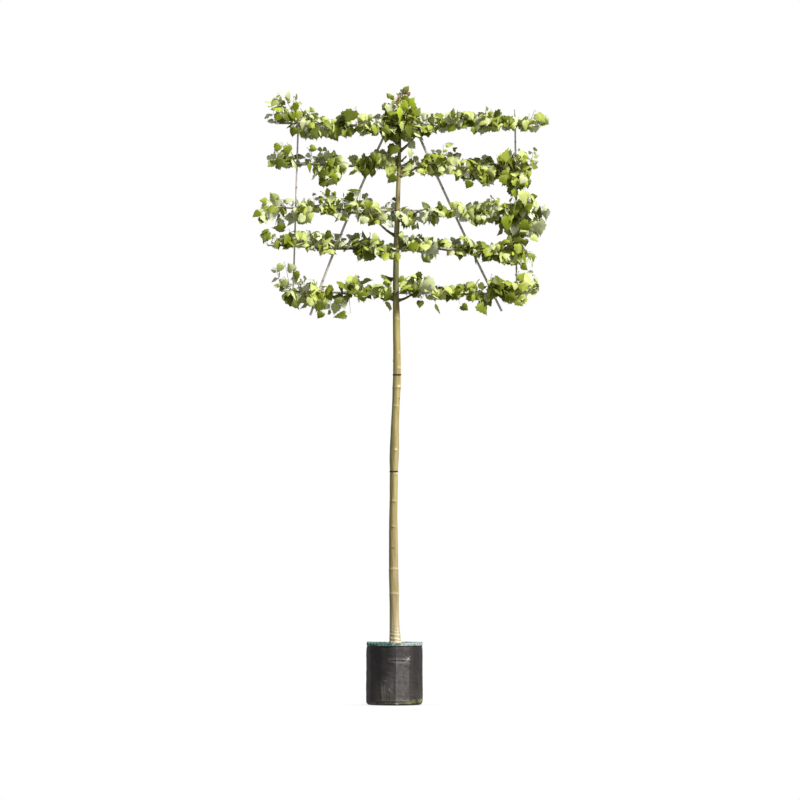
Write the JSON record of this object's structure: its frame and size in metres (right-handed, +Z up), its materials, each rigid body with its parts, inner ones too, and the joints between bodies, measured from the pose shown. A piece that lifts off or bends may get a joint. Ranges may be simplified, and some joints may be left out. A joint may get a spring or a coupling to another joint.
{
  "type": "pleached lime sapling in a root bag",
  "caption": "Pleached lime sapling: a clear stem in a black woven root bag, its side boughs trained flat in level tiers along a bamboo cane frame, with a bushy leader on top.",
  "frame": {"origin": "middle of the flat underside of the root bag, on the ground", "axes": "+Z up the stem, +X to the right along the level canes, +Y to the back of the cane frame"},
  "size_m": [1.9097, 0.3604, 3.8903],
  "materials": {
    "woven_bag": "tightly woven black plastic tape, slight sheen",
    "hem_thread": "sea green overlock thread",
    "potting_soil": "dark crumbly soil",
    "trunk_bark": "smooth young lime bark",
    "bough_bark": "thin green-brown bark",
    "bamboo": "weathered grey bamboo",
    "stem_tie": "matte dark band",
    "tie_wire": "dull rusted wire",
    "foliage": "fresh lime leaves"
  },
  "bodies": {
    "root": {"root_bag": "woven_bag", "bag_hem": "hem_thread", "root_ball": "potting_soil", "trunk": "trunk_bark", "stem_tie_lower": "stem_tie", "stem_tie_upper": "stem_tie", "level_cane_1": "bamboo", "level_cane_2": "bamboo", "level_cane_3": "bamboo", "level_cane_4": "bamboo", "level_cane_5": "bamboo", "upright_cane_left": "bamboo", "upright_cane_right": "bamboo", "brace_cane_left": "bamboo", "brace_cane_right": "bamboo", "tier_tie_1": "tie_wire", "tier_tie_2": "tie_wire", "tier_tie_3": "tie_wire", "tier_tie_4": "tie_wire", "tier_tie_5": "tie_wire", "bough_left_1": "bough_bark", "bough_left_2": "bough_bark", "bough_left_3": "bough_bark", "bough_left_4": "bough_bark", "bough_left_5": "bough_bark", "bough_right_1": "bough_bark", "bough_right_2": "bough_bark", "bough_right_3": "bough_bark", "bough_right_4": "bough_bark", "bough_right_5": "bough_bark", "foliage_left_1": "foliage", "foliage_left_2": "foliage", "foliage_left_3": "foliage", "foliage_left_4": "foliage", "foliage_left_5": "foliage", "foliage_right_1": "foliage", "foliage_right_2": "foliage", "foliage_right_3": "foliage", "foliage_right_4": "foliage", "foliage_right_5": "foliage", "foliage_leader": "foliage"}
  },
  "joints": []
}
